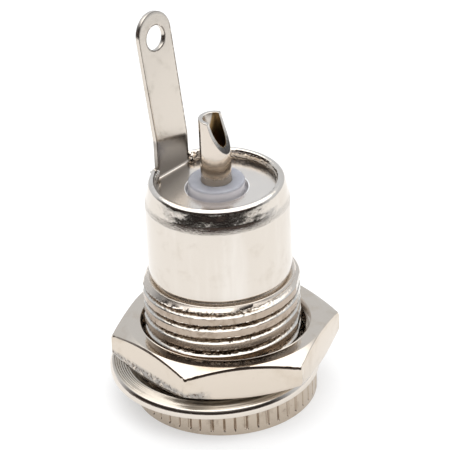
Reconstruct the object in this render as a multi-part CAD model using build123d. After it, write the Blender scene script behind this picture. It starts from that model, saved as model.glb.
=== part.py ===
from build123d import *
import os
from math import acos, ceil, cos, pi, radians, sin, sqrt, tan

os.makedirs("parts", exist_ok=True)

# Metal panel-mount DC barrel jack for a 5.5 mm plug with a 2.1 mm bore.
# Millimetres. The mouth of the socket lies on the XY plane, the socket's axis
# is +Z, and the solder terminals stand at the +Z end.
# Azimuths are in degrees from +X, counter-clockwise as seen from +Z.

# Plug
plug_diameter = 5.5
pin_diameter = 2.0

# Shell, outside
head_diameter = 12.9
head_height = 2.0
head_edge_chamfer = 0.1
knurl_pitch = 0.81
knurl_depth = 0.13
knurl_foot = 0.5
knurl_azimuth = -90.3
relief_diameter = 10.2
relief_length = 0.9
thread_diameter = 11.0
thread_pitch = 1.0
thread_depth = 0.3
thread_groove_width = 0.4
thread_root_width = 0.1
thread_azimuth = 7.2
thread_top = 9.25
lead_in_length = 0.7
flats_across = 10.5
flats_azimuth = -10.0
barrel_diameter = 10.0
barrel_wall = 0.5
shoulder_rise = 1.4
rim_inset = 0.38
rim_wall = 0.52
rim_lap = 0.57
rim_crown = 0.15
rim_foot_relief = 0.15

# Shell, inside
mouth_clearance = 0.2
mouth_chamfer = 0.4
front_wall = 2.4
sleeve_bore = 7.2
bush_seat = 11.0

# Insulator bush
bush_clearance = 0.05
spigot_length = 0.8
bush_top = 15.73
collar_diameter = 3.9
collar_height = 0.65
collar_edge_chamfer = 0.12
contact_clearance = 0.02

# Solder tag
tag_thickness = 0.4
tag_clearance = 0.2
tag_plate_clearance = 0.1
tail_azimuth = 137.0
tail_chord = 3.95
tail_width = 3.1
tail_crease_height = 2.4
tail_lean = 8.0
tail_bend_radius = 0.1
tail_crease_radius = 1.5
eye_reach = 9.9
eye_diameter = 1.8
eye_margin = 0.3
notch_clearance = 0.1

# Centre contact
pin_recess = 2.5
pin_tip_radius = 0.45
flange_diameter = 3.2
flange_thickness = 1.0
tail_tube_diameter = 2.06
tail_tube_height = 4.7
cup_bore = 1.5
cup_depth = 3.5
cup_drill_angle = 118.0
scoop_azimuth = -28.0
scoop_depth = 2.53
scoop_sag_share = 0.545
scoop_reach_share = 0.43

# Contact sleeve
sleeve_wall = 0.35
sleeve_clearance = 0.02
sleeve_end_play = 0.1
sleeve_ring_length = 2.0
sleeve_waist_height = 4.3
sleeve_grip = 0.1
sleeve_flare = 0.35
sleeve_slot_width = 0.6
sleeve_slots = 4

# Washer
washer_clearance = 0.4
washer_width = 1.5
washer_thickness = 0.75
washer_edge_chamfer = 0.15
washer_shift = 0.7

# Hex nut
nut_wall = 1.5
nut_thickness = 2.5
nut_corner_radius = 0.3
nut_chamfer_angle = 25.0
nut_chamfer_inset = 0.1
nut_clearance = 0.2
nut_countersink = 0.12
nut_middle_height = 4.36
nut_shift = 0.1
nut_tilt_x = -2.2
nut_tilt_y = 1.3
nut_spin = 8.3

# How far a cutting body runs past what it cuts
overrun = 1.0


def turned(points):
    """Revolve a closed outline of (radius, height) points about the axis."""
    outline = Plane.XZ * make_face(Polyline(*points, close=True))
    return revolve(outline, Axis.Z)


def disc(radius, low, high):
    """A cylinder on the axis between two heights."""
    return Pos(0, 0, low) * Cylinder(radius, high - low, align=(Align.CENTER, Align.CENTER, Align.MIN))


def edges_at(body, radius, height):
    """The round edges of a body that have this radius and lie at this height."""
    found = []
    for edge in body.edges().filter_by(GeomType.CIRCLE):
        if abs(edge.radius - radius) < overrun / 1000 and abs(edge.center().Z - height) < overrun / 1000:
            found.append(edge)
    return found


def shell_outline():
    """Half section of the shell: head, relief, thread, lead-in, barrel, rolled rim and bores."""
    head = head_diameter / 2
    relief = relief_diameter / 2
    thread = thread_diameter / 2
    barrel = barrel_diameter / 2
    rim_outer = barrel - rim_inset
    rim_bore = rim_outer - rim_wall
    bush_bore = barrel - barrel_wall
    mouth = plug_diameter / 2 + mouth_clearance
    plate_top = bush_top + tag_thickness
    rim_outer_height = plate_top + rim_lap
    rim_height = rim_outer_height + rim_crown
    shoulder_height = rim_outer_height - shoulder_rise
    shoulder_radius = (rim_inset**2 + shoulder_rise**2) / (2 * rim_inset)
    half_turn = acos(1 - rim_inset / shoulder_radius) / 2
    shoulder_middle = (
        barrel - shoulder_radius * (1 - cos(half_turn)),
        shoulder_height + shoulder_radius * sin(half_turn),
    )
    with BuildSketch(Plane.XZ) as section:
        with BuildLine():
            Polyline(
                (mouth + mouth_chamfer, 0),
                (head, 0),
                (head, head_height),
                (relief, head_height),
                (relief, head_height + relief_length),
                (thread, head_height + relief_length + thread - relief),
                (thread, thread_top),
                (barrel, thread_top + lead_in_length),
                (barrel, shoulder_height),
            )
            ThreePointArc((barrel, shoulder_height), shoulder_middle, (rim_outer, rim_outer_height))
            ThreePointArc(
                (rim_outer, rim_outer_height),
                (rim_outer - rim_wall / 2, rim_height),
                (rim_bore, rim_outer_height),
            )
            Polyline(
                (rim_bore, rim_outer_height),
                (rim_bore + rim_foot_relief, plate_top),
                (bush_bore, plate_top),
                (bush_bore, bush_seat),
                (sleeve_bore / 2, bush_seat),
                (sleeve_bore / 2, front_wall),
                (mouth, front_wall),
                (mouth, mouth_chamfer),
                (mouth + mouth_chamfer, 0),
            )
        make_face()
    return section.sketch


def thread_turns():
    """Right-handed cutters for the thread's groove, one for each turn, from the relief past the lead-in."""
    start = head_height + relief_length / 2
    end = thread_top + lead_in_length + thread_groove_width
    helix = Helix(thread_pitch, thread_pitch, thread_diameter / 2)
    section = Plane(origin=helix @ 0, x_dir=(1, 0, 0), z_dir=helix % 0)
    root = thread_root_width / 2
    mouth = thread_groove_width - root
    profile = make_face(
        Polyline(
            (-thread_depth, -root),
            (thread_depth, -mouth),
            (thread_depth, mouth),
            (-thread_depth, root),
            close=True,
        )
    )
    turn = Rot(0, 0, thread_azimuth) * sweep(section * profile, path=helix, is_frenet=True)
    count = ceil((end - start) / thread_pitch)
    return [Pos(0, 0, start + index * thread_pitch) * turn for index in range(count)]


def tail_frame():
    """Plane through the axis: x runs out towards the tail, y runs up."""
    out = Vector(cos(radians(tail_azimuth)), sin(radians(tail_azimuth)), 0)
    return Plane(origin=(0, 0, 0), x_dir=out, z_dir=out.cross(Vector(0, 0, 1)))


def make_shell():
    """Turned brass shell with a knurled head, two thread flats and a notched rim."""
    body = revolve(shell_outline(), Axis.Z)
    body = chamfer(edges_at(body, head_diameter / 2, 0), head_edge_chamfer)
    body -= thread_turns()

    thread_length = thread_top + lead_in_length - head_height
    flat_width = thread_diameter
    flat_depth = (thread_diameter - flats_across) / 2 + overrun
    for turn in (0, 180):
        flat = Pos(flats_across / 2 + flat_depth / 2, 0, head_height + thread_length / 2) * Box(
            flat_depth, flat_width, thread_length
        )
        body -= Rot(0, 0, flats_azimuth + turn) * flat

    groove_count = round(pi * head_diameter / knurl_pitch)
    groove_side = knurl_depth * sqrt(2)
    groove_length = head_height + overrun - knurl_foot
    groove = (
        Pos(head_diameter / 2, 0, knurl_foot + groove_length / 2)
        * Rot(0, 0, 45)
        * Box(groove_side, groove_side, groove_length)
    )
    grooves = [Rot(0, 0, knurl_azimuth + index * 360 / groove_count) * groove for index in range(groove_count)]
    body -= grooves

    notch_width = tail_width + 2 * notch_clearance
    notch_height = tag_thickness + rim_lap + rim_crown + overrun
    notch = Pos(barrel_diameter / 2, 0, bush_top + notch_height / 2) * Box(
        2 * (rim_inset + rim_wall) + overrun, notch_width, notch_height
    )
    return body - Rot(0, 0, tail_azimuth) * notch


def make_insulator_bush():
    """Moulded bush: spigot in the sleeve bore, flange on the seat, collar through the tag."""
    low = bush_seat - spigot_length
    spigot = disc(sleeve_bore / 2 - bush_clearance, low, bush_seat)
    flange = disc(barrel_diameter / 2 - barrel_wall - bush_clearance, bush_seat, bush_top)
    collar_top = bush_top + tag_thickness + collar_height
    collar = disc(collar_diameter / 2, bush_top, collar_top)
    body = spigot + flange + collar
    body = chamfer(edges_at(body, collar_diameter / 2, collar_top), collar_edge_chamfer)
    body -= disc(tail_tube_diameter / 2 + contact_clearance, low - overrun, collar_top + overrun)
    pocket = disc(flange_diameter / 2 + bush_clearance, low - overrun, low + flange_thickness)
    return body - pocket


def make_centre_contact():
    """Turned contact: centre pin in front, retaining flange, solder cup behind."""
    pin = pin_diameter / 2
    tube = tail_tube_diameter / 2
    flange_low = bush_seat - spigot_length
    flange_high = flange_low + flange_thickness
    top = bush_top + tag_thickness + collar_height + tail_tube_height
    body = turned(
        [
            (0, pin_recess),
            (pin, pin_recess),
            (pin, flange_low),
            (flange_diameter / 2, flange_low),
            (flange_diameter / 2, flange_high),
            (tube, flange_high),
            (tube, top),
            (0, top),
        ]
    )
    body = fillet(edges_at(body, pin, pin_recess), pin_tip_radius)
    cup_floor = top - cup_depth
    cup_cone = cup_bore / 2 / tan(radians(cup_drill_angle / 2))
    body -= turned(
        [
            (0, cup_floor - cup_cone),
            (cup_bore / 2, cup_floor),
            (cup_bore / 2, top + overrun),
            (0, top + overrun),
        ]
    )

    scoop_plane = Plane.XZ.offset(-tube - overrun)
    with BuildSketch(scoop_plane) as profile:
        with BuildLine():
            ThreePointArc(
                (0, top),
                (tube * scoop_reach_share, top - scoop_depth * scoop_sag_share),
                (tube, top - scoop_depth),
            )
            Polyline(
                (tube, top - scoop_depth),
                (tube + overrun, top - scoop_depth - overrun),
                (tube + overrun, top + overrun),
                (0, top + overrun),
                (0, top),
            )
        make_face()
    scoop = extrude(profile.sketch, 2 * (tube + overrun))
    return body - Rot(0, 0, scoop_azimuth) * scoop


def make_solder_tag():
    """Stamped tag: a ring under the rolled rim, folded up into a tail with an eye."""
    plate_top = bush_top + tag_thickness
    plate_radius = barrel_diameter / 2 - barrel_wall - tag_plate_clearance
    fold = tail_chord - tail_bend_radius
    ring = disc(plate_radius, bush_top, plate_top)
    frame = tail_frame()
    outside = Rot(0, 0, tail_azimuth) * Pos(fold + plate_radius, 0, bush_top) * Box(
        2 * plate_radius, 2 * plate_radius, tag_thickness + overrun
    )
    ring -= outside

    middle = tag_thickness / 2
    upright = tail_chord + middle
    crease = plate_top + tail_crease_height
    lean = radians(tail_lean)
    leaned = eye_reach + eye_margin - tail_crease_height
    tip_centre = (upright + leaned * sin(lean), crease + leaned * cos(lean))
    corners = [
        (collar_diameter / 2 + tag_clearance + tag_thickness, bush_top + middle),
        (upright, bush_top + middle),
        (upright, crease),
        tip_centre,
    ]
    path = frame * FilletPolyline(
        *corners, radius=[tail_bend_radius + middle, tail_crease_radius]
    )
    across = frame.z_dir
    start = Plane(origin=path @ 0, x_dir=across, z_dir=path % 0)
    strip = sweep(start * Rectangle(tail_width, tag_thickness), path=path)
    end = Plane(origin=path @ 1, x_dir=across, z_dir=across.cross(path % 1))
    tip = end * Cylinder(tail_width / 2, tag_thickness)
    hole = end * Pos(0, -eye_margin, 0) * Cylinder(eye_diameter / 2, tag_thickness + overrun)
    body = ring + strip + tip - hole
    return body - disc(collar_diameter / 2 + tag_clearance, bush_top - overrun, plate_top + overrun)


def make_contact_sleeve():
    """Rolled spring sleeve: a whole ring behind, slotted fingers that grip the plug in front."""
    outer = sleeve_bore / 2 - sleeve_clearance
    inner = outer - sleeve_wall
    rear = bush_seat - spigot_length - sleeve_end_play
    front = front_wall
    ring_low = rear - sleeve_ring_length
    waist = plug_diameter / 2 - sleeve_grip
    mouth = waist + sleeve_flare
    body = turned(
        [
            (inner, rear),
            (inner, ring_low),
            (waist, sleeve_waist_height),
            (mouth, front),
            (mouth + sleeve_wall, front),
            (waist + sleeve_wall, sleeve_waist_height),
            (outer, ring_low),
            (outer, rear),
        ]
    )
    slot_length = ring_low - front + overrun
    slot = Pos(outer, 0, front - overrun + slot_length / 2) * Box(
        2 * (outer - waist) + overrun, sleeve_slot_width, slot_length
    )
    seam_length = rear - front + 2 * overrun
    seam = Pos(outer, 0, front - overrun + seam_length / 2) * Box(
        2 * (outer - waist) + overrun, sleeve_slot_width, seam_length
    )
    for index in range(1, sleeve_slots):
        body -= Rot(0, 0, index * 360 / sleeve_slots) * slot
    return body - seam


def make_washer():
    """Flat ring on the back of the head, pushed to one side."""
    top = head_height + washer_thickness
    inner = thread_diameter / 2 + washer_clearance
    outer = inner + washer_width
    ring = disc(outer, head_height, top)
    ring -= disc(inner, head_height - overrun, top + overrun)
    rims = edges_at(ring, outer, head_height)
    rims += edges_at(ring, outer, top)
    return Pos(-washer_shift, 0, 0) * chamfer(rims, washer_edge_chamfer)


def make_hex_nut():
    """Hex nut with both faces chamfered and countersunk, loose and askew on the thread."""
    half = nut_thickness / 2
    flat = thread_diameter / 2 + nut_wall
    corner = flat / cos(radians(30))
    bore = thread_diameter / 2 + nut_clearance
    prism = extrude(RegularPolygon(corner, 6), half, both=True)
    prism = fillet(prism.edges().filter_by(Axis.Z), nut_corner_radius)
    circle = flat - nut_chamfer_inset
    drop = (corner - circle) * tan(radians(nut_chamfer_angle))
    chamfered = turned(
        [
            (0, -half),
            (circle, -half),
            (corner, -half + drop),
            (corner, half - drop),
            (circle, half),
            (0, half),
        ]
    )
    nut = prism & chamfered
    nut -= turned(
        [
            (0, -half - overrun),
            (bore + nut_countersink + overrun, -half - overrun),
            (bore, -half + nut_countersink),
            (bore, half - nut_countersink),
            (bore + nut_countersink + overrun, half + overrun),
            (0, half + overrun),
        ]
    )
    return Pos(nut_shift, 0, nut_middle_height) * Rot(nut_tilt_x, 0, 0) * Rot(0, nut_tilt_y, 0) * Rot(0, 0, nut_spin) * nut


nodes = {
    "shell": make_shell(),
    "insulator_bush": make_insulator_bush(),
    "centre_contact": make_centre_contact(),
    "contact_sleeve": make_contact_sleeve(),
    "solder_tag": make_solder_tag(),
    "washer": make_washer(),
    "hex_nut": make_hex_nut(),
}

for name, body in nodes.items():
    export_step(body, f"parts/{name}.step")
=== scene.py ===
import random
from math import asin, atan2, cos, pi, radians, sin, sqrt, tan

import bmesh
import bpy
import numpy as np
from mathutils import Matrix, Quaternion, Vector


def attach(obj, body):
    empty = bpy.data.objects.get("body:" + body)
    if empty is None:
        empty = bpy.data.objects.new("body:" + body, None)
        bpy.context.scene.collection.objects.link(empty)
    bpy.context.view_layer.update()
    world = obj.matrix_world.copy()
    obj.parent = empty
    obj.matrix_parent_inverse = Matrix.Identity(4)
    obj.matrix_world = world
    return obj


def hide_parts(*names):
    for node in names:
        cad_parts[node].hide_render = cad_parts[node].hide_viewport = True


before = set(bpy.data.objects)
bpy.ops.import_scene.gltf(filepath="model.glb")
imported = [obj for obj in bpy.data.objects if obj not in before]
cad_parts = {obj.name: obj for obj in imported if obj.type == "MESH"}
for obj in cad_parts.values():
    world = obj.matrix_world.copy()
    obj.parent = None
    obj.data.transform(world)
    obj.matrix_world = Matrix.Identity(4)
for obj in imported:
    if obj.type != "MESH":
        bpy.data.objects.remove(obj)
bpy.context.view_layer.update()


# Studio: a white sheet on a table under a wide soft light, with a pale wall
# behind. The room in front is dark, which draws the dark bands on bright metal.
def add_node(tree, kind, inputs=None, **settings):
    """Add a node, set its settings, then give its inputs values or links."""
    node = tree.nodes.new(kind)
    for name, value in settings.items():
        setattr(node, name, value)
    for name, value in (inputs or {}).items():
        if isinstance(value, bpy.types.NodeSocket):
            tree.links.new(value, node.inputs[name])
        else:
            node.inputs[name].default_value = value
    return node


def math_node(tree, operation, first, second=0.0, third=0.0):
    """One arithmetic step on numbers or sockets."""
    inputs = {0: first, 1: second, 2: third}
    return add_node(tree, "ShaderNodeMath", inputs, operation=operation).outputs[0]


def split_point(tree, point):
    """The X, Y and Z of a point or a direction."""
    return add_node(tree, "ShaderNodeSeparateXYZ", {"Vector": point}).outputs


def ramp_node(tree, value, stops):
    """A colour ramp with its stops as (position, colour)."""
    node = add_node(tree, "ShaderNodeValToRGB", {"Fac": value})
    ramp = node.color_ramp
    while len(ramp.elements) < len(stops):
        ramp.elements.new(0.5)
    for element, (position, colour) in zip(ramp.elements, stops):
        element.position = position
        element.color = (*colour, 1)
    return node.outputs["Color"]


def mask_above(tree, value, low, high):
    """0 below low, 1 above high, smooth between."""
    inputs = {"Value": value, "From Min": low, "From Max": high}
    node = add_node(tree, "ShaderNodeMapRange", inputs, interpolation_type="SMOOTHSTEP")
    return node.outputs[0]


def mix_colour(tree, share, first, second):
    """Blend two colours by a share."""
    inputs = {0: share, 6: first, 7: second}
    return add_node(tree, "ShaderNodeMix", inputs, data_type="RGBA").outputs[2]


def start_material(name):
    """A new material with an empty tree."""
    material = bpy.data.materials.new(name)
    material.use_nodes = True
    material.node_tree.nodes.clear()
    return material, material.node_tree


camera_place = Vector((0, -0.180157, 0.117663))
camera_aim = Vector((0.000436, 0, 0.013088))
camera_roll = radians(-2.666)
camera_data = bpy.data.cameras.new("camera")
camera_data.lens = 242.3
camera_data.sensor_width = 36
camera_data.clip_end = 10
camera = bpy.data.objects.new("camera", camera_data)
camera_turn = (camera_aim - camera_place).to_track_quat("-Z", "Y")
camera.location = camera_place
camera.rotation_mode = "QUATERNION"
camera.rotation_quaternion = camera_turn @ Quaternion((0, 0, 1), camera_roll)
bpy.context.scene.collection.objects.link(camera)
bpy.context.scene.camera = camera
bpy.context.scene.view_settings.view_transform = "Standard"

front_stops = [
    (0.0, (0.01, 0.009, 0.0085)),
    (0.03, (0.055, 0.043, 0.04)),
    (0.13, (0.055, 0.043, 0.04)),
    (0.2, (0.012, 0.01, 0.009)),
    (0.42, (0.014, 0.012, 0.011)),
    (0.5, (0.05, 0.047, 0.046)),
    (0.59, (0.12, 0.115, 0.115)),
    (0.65, (0.4, 0.4, 0.41)),
    (0.72, (1.0, 1.0, 1.0)),
]
back_stops = [
    (0.0, (0.34, 0.355, 0.375)),
    (0.5, (0.35, 0.37, 0.4)),
    (0.62, (0.43, 0.45, 0.475)),
    (0.74, (1.0, 1.0, 1.0)),
]
back_turn = 0.3
back_edge = (-0.3, 0.4)
room_strength = 2.2
room = bpy.data.worlds.new("room")
bpy.context.scene.world = room
room.use_nodes = True
tree = room.node_tree
tree.nodes.clear()
heading = split_point(tree, add_node(tree, "ShaderNodeTexCoord").outputs["Generated"])
front_light = ramp_node(tree, heading["Z"], front_stops)
back_light = ramp_node(tree, heading["Z"], back_stops)
toward_back = math_node(tree, "MULTIPLY_ADD", heading["X"], back_turn, heading["Y"])
back_share = mask_above(tree, toward_back, *back_edge)
room_light = mix_colour(tree, back_share, front_light, back_light)
room_glow = add_node(tree, "ShaderNodeBackground", {"Color": room_light, "Strength": room_strength})
white_glow = add_node(tree, "ShaderNodeBackground", {"Color": (1, 1, 1, 1), "Strength": 1})
seen = add_node(tree, "ShaderNodeLightPath").outputs["Is Camera Ray"]
room_inputs = {0: seen, 1: room_glow.outputs[0], 2: white_glow.outputs[0]}
room_mix = add_node(tree, "ShaderNodeMixShader", room_inputs)
add_node(tree, "ShaderNodeOutputWorld", {"Surface": room_mix.outputs[0]})

sheet_radius = 0.105
sheet_grey = (0.52, 0.52, 0.52, 1)
sheet_glow = 0.46
sheet_mesh = bpy.data.meshes.new("sheet")
builder = bmesh.new()
bmesh.ops.create_circle(builder, cap_ends=True, segments=128, radius=sheet_radius)
builder.to_mesh(sheet_mesh)
builder.free()
sheet = bpy.data.objects.new("sheet", sheet_mesh)
bpy.context.scene.collection.objects.link(sheet)
sheet_paper, tree = start_material("sheet_paper")
paths = add_node(tree, "ShaderNodeLightPath").outputs
seen = math_node(tree, "MAXIMUM", paths["Is Camera Ray"], paths["Is Glossy Ray"])
seen = math_node(tree, "MAXIMUM", seen, paths["Is Transmission Ray"])
glow_strength = math_node(tree, "MULTIPLY", seen, sheet_glow)
glow = add_node(tree, "ShaderNodeEmission", {"Strength": glow_strength})
paper = add_node(tree, "ShaderNodeBsdfDiffuse", {"Color": sheet_grey})
sheet_sum = add_node(tree, "ShaderNodeAddShader", {0: paper.outputs[0], 1: glow.outputs[0]})
add_node(tree, "ShaderNodeOutputMaterial", {"Surface": sheet_sum.outputs[0]})
sheet_mesh.materials.append(sheet_paper)


# Shell head: the knurled front flange of the one turned brass shell, nickel
# plated, with the plug's mouth bored through it. A knurling wheel pressed in
# its grooves, so they wander and some are struck twice.
per_metre = 1000
micrometre = 0.000001
merge_reach = 0.0000002
FLOAT = "NodeSocketFloat"
COLOUR = "NodeSocketColor"


def object_millimetres(tree):
    """The surface point in the piece's own space, in millimetres."""
    inputs = {0: add_node(tree, "ShaderNodeTexCoord").outputs["Object"], "Scale": per_metre}
    return add_node(tree, "ShaderNodeVectorMath", inputs, operation="SCALE").outputs[0]


def axis_distance(tree, split):
    """Distance of a split point from the piece's own Z axis."""
    flat = add_node(tree, "ShaderNodeCombineXYZ", {"X": split["X"], "Y": split["Y"]}).outputs[0]
    return add_node(tree, "ShaderNodeVectorMath", {0: flat}, operation="LENGTH").outputs["Value"]


def noise_node(tree, place, scale, detail=3.0, roughness=0.55, distortion=0.0):
    """Fractal noise, from 0 to 1."""
    inputs = {"Vector": place, "Scale": scale, "Detail": detail}
    inputs |= {"Roughness": roughness, "Distortion": distortion}
    return add_node(tree, "ShaderNodeTexNoise", inputs).outputs["Fac"]


def mask_below(tree, value, low, high):
    """1 below low, 0 above high, smooth between."""
    return math_node(tree, "SUBTRACT", 1.0, mask_above(tree, value, low, high))


def start_group(name, inputs, outputs):
    """A new shader group with named sockets, and its inner input and output sockets."""
    group = bpy.data.node_groups.new(name, "ShaderNodeTree")
    for label, kind in inputs:
        group.interface.new_socket(label, in_out="INPUT", socket_type=kind)
    for label, kind in outputs:
        group.interface.new_socket(label, in_out="OUTPUT", socket_type=kind)
    given = group.nodes.new("NodeGroupInput").outputs
    return group, given, group.nodes.new("NodeGroupOutput").inputs


# plated_surface: cloudy tarnish, a fine grain and small dark pits. Heights are in micrometres.
tarnish_softness = 0.25
pit_softness = 0.05
pit_depth = -4.0
plated_surface, given, made = start_group(
    "plated_surface",
    [
        ("Metal", COLOUR),
        ("Tarnish", COLOUR),
        ("Tarnish Level", FLOAT),
        ("Cloud Scale", FLOAT),
        ("Pit Colour", COLOUR),
        ("Pit Level", FLOAT),
        ("Pit Scale", FLOAT),
        ("Gloss", FLOAT),
        ("Dull", FLOAT),
        ("Grain Scale", FLOAT),
        ("Grain Height", FLOAT),
    ],
    [("Color", COLOUR), ("Roughness", FLOAT), ("Height", FLOAT)],
)
tree = plated_surface
place = object_millimetres(tree)
cloud = noise_node(tree, place, given["Cloud Scale"], 4.0, 0.6, 0.4)
cloud_high = math_node(tree, "ADD", given["Tarnish Level"], tarnish_softness)
tarnished = mask_above(tree, cloud, given["Tarnish Level"], cloud_high)
pit_noise = noise_node(tree, place, given["Pit Scale"], 3.0, 0.65)
pit_high = math_node(tree, "ADD", given["Pit Level"], pit_softness)
pits = mask_above(tree, pit_noise, given["Pit Level"], pit_high)
tone = mix_colour(tree, tarnished, given["Metal"], given["Tarnish"])
tone = mix_colour(tree, pits, tone, given["Pit Colour"])
spread = math_node(tree, "SUBTRACT", given["Dull"], given["Gloss"])
worn = math_node(tree, "MAXIMUM", tarnished, pits)
rough = math_node(tree, "MULTIPLY_ADD", worn, spread, given["Gloss"])
grain = noise_node(tree, place, given["Grain Scale"], 3.0, 0.6)
grain_height = math_node(tree, "MULTIPLY", grain, given["Grain Height"])
sunk = math_node(tree, "MULTIPLY_ADD", pits, pit_depth, grain_height)
for socket, value in (("Color", tone), ("Roughness", rough), ("Height", sunk)):
    tree.links.new(value, made[socket])

# A mask by radius round the piece's own Z axis: 0 out at the crest radius, 1 in at the root radius,
# with a ragged edge. Most uses paint shade into grooves and hollows; others mark a ring for a colour
# or a highlight.
inside_radius_mask, given, made = start_group(
    "inside_radius_mask", [("Crest", FLOAT), ("Root", FLOAT), ("Raggedness", FLOAT)], [("Inward", FLOAT)]
)
tree = inside_radius_mask
place = object_millimetres(tree)
radius = axis_distance(tree, split_point(tree, place))
ragged = math_node(tree, "SUBTRACT", noise_node(tree, place, 5.0, 4.0, 0.7), 0.5)
radius = math_node(tree, "MULTIPLY_ADD", ragged, given["Raggedness"], radius)
inward_share = mask_below(tree, radius, given["Root"], given["Crest"])
tree.links.new(inward_share, made["Inward"])

nickel_pit = (0.16, 0.11, 0.08, 1)


def plated(tree, metal, tarnish, clouds, pits, polish, grain, pit_colour=nickel_pit):
    """Place plated_surface. Clouds, pits: level, scale. Polish: gloss, dull. Grain: scale, height."""
    inputs = {"Metal": metal, "Tarnish": tarnish, "Pit Colour": pit_colour}
    inputs |= {"Tarnish Level": clouds[0], "Cloud Scale": clouds[1]}
    inputs |= {"Pit Level": pits[0], "Pit Scale": pits[1]}
    inputs |= {"Gloss": polish[0], "Dull": polish[1]}
    inputs |= {"Grain Scale": grain[0], "Grain Height": grain[1]}
    return add_node(tree, "ShaderNodeGroup", inputs, node_tree=plated_surface).outputs


def mask_inside(tree, root, crest, raggedness):
    """Place the radius mask: 1 nearer to the axis than root, 0 beyond crest."""
    inputs = {"Root": root, "Crest": crest, "Raggedness": raggedness}
    return add_node(tree, "ShaderNodeGroup", inputs, node_tree=inside_radius_mask).outputs["Inward"]


def relief_normal(tree, height):
    """The normal that a relief in micrometres gives."""
    inputs = {"Height": height, "Distance": micrometre, "Strength": 1.0}
    return add_node(tree, "ShaderNodeBump", inputs).outputs["Normal"]


def finish_metal(tree, colour, roughness, height):
    """The bare metal shader, with its relief given in micrometres."""
    inputs = {"Base Color": colour, "Metallic": 1.0, "Roughness": roughness}
    inputs["Normal"] = relief_normal(tree, height)
    shader = add_node(tree, "ShaderNodeBsdfPrincipled", inputs)
    add_node(tree, "ShaderNodeOutputMaterial", {"Surface": shader.outputs[0]})


def skin(name, points, faces, material, sharp=32.0):
    """A mesh object from points and faces, with doubled points merged and normals turned out."""
    mesh = bpy.data.meshes.new(name)
    mesh.from_pydata(points, [], faces)
    builder = bmesh.new()
    builder.from_mesh(mesh)
    bmesh.ops.remove_doubles(builder, verts=builder.verts, dist=merge_reach)
    bmesh.ops.recalc_face_normals(builder, faces=builder.faces)
    builder.to_mesh(mesh)
    builder.free()
    mesh.shade_smooth()
    mesh.set_sharp_from_angle(angle=radians(sharp))
    mesh.materials.append(material)
    piece = bpy.data.objects.new(name, mesh)
    bpy.context.scene.collection.objects.link(piece)
    return piece


def band(here, above, columns):
    """The faces between two closed rows of points, from the first index of each row."""
    faces = []
    for column in range(columns):
        beside = (column + 1) % columns
        faces.append((here + column, here + beside, above + beside, above + column))
    return faces


def angles_round(count, start=0.0):
    """Evenly spaced angles round a circle."""
    return np.arange(count) * 2 * pi / count + start


def points_round(radius, angle, height):
    """Points at a radius, an angle and a height."""
    return np.stack([radius * np.cos(angle), radius * np.sin(angle), height], axis=-1)


def spread_rows(rows, columns):
    """Rows of (radius, height), each a number or an array, as two grids."""
    radius = np.array([np.broadcast_to(r, columns) for r, z in rows])
    height = np.array([np.broadcast_to(z, columns) for r, z in rows])
    return radius, height


def grid_piece(name, radius, height, angle, material, ring=True):
    """A closed skin from rows of points (millimetres) round Z. A ring's last row meets its first."""
    rows, columns = radius.shape
    points = points_round(radius, np.broadcast_to(angle, radius.shape), height)
    faces = []
    for row in range(rows if ring else rows - 1):
        faces += band(row * columns, ((row + 1) % rows) * columns, columns)
    return skin(name, (points.reshape(-1, 3) / per_metre).tolist(), faces, material)


def arc(centre_r, centre_z, radius, start, end, steps):
    """Points (radius, height) along an arc, angles in degrees."""
    turns = [radians(turn) for turn in np.linspace(start, end, steps + 1)]
    return [(centre_r + radius * cos(turn), centre_z + radius * sin(turn)) for turn in turns]


def smooth_noise(seed, count, width):
    """Seeded noise along a closed line, averaged over a width in steps, with a spread of about 1."""
    raw = np.random.default_rng(seed).normal(0, 1, count)
    raw = np.concatenate([raw[-width:], raw, raw[:width]])
    kernel = np.hanning(width + 2)[1:-1]
    kernel /= sqrt((kernel**2).sum())
    return np.convolve(raw, kernel, "same")[width : width + count]


groove_shade = (0.38, 0.3, 0.23, 1)
head_nickel, tree = start_material("head_nickel")
finish = plated(
    tree,
    metal=(0.55, 0.47, 0.385, 1),
    tarnish=(0.39, 0.325, 0.26, 1),
    clouds=(0.52, 1.3),
    pits=(0.7, 6.0),
    polish=(0.2, 0.34),
    grain=(12.0, 2.5),
)
# Painted shade: the knurl grooves get a dark brown colour inside their crest radius.
in_groove = mask_inside(tree, root=6.34, crest=6.43, raggedness=0.03)
colour = mix_colour(tree, in_groove, finish["Color"], groove_shade)
finish_metal(tree, colour, finish["Roughness"], finish["Height"])

draw = random.Random(11)
groove_count = 50
groove_steps = 24
groove_middle = radians(-92.7)
groove_flank = 1.15
second_strike_chance = 0.3
head_radius = 6.45
head_top = 2.0
head_round = 0.08
mouth_radius = 2.95
mouth_chamfer = 0.4
neck_radius = 5.0
neck_top = 2.4
uneven_size = 0.004
column_count = groove_count * groove_steps
column_angle = angles_round(column_count, groove_middle)
cut = np.zeros(column_count)
for groove in range(groove_count):
    depth = draw.uniform(0.09, 0.13)
    half_width = draw.uniform(0.085, 0.115)
    shift = draw.gauss(0, 0.035)
    strikes = [(shift, half_width, depth)]
    if draw.random() < second_strike_chance:
        second = shift + draw.choice((-1, 1)) * draw.uniform(0.14, 0.2)
        strikes.append((second, half_width * 0.7, depth * 0.5))
    turn = column_angle - groove_middle - groove * 2 * pi / groove_count
    along = ((turn + pi) % (2 * pi) - pi) * head_radius
    for offset, half, deep in strikes:
        cut = np.maximum(cut, deep * np.clip(groove_flank - np.abs(along - offset) / half, 0, 1))

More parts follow.
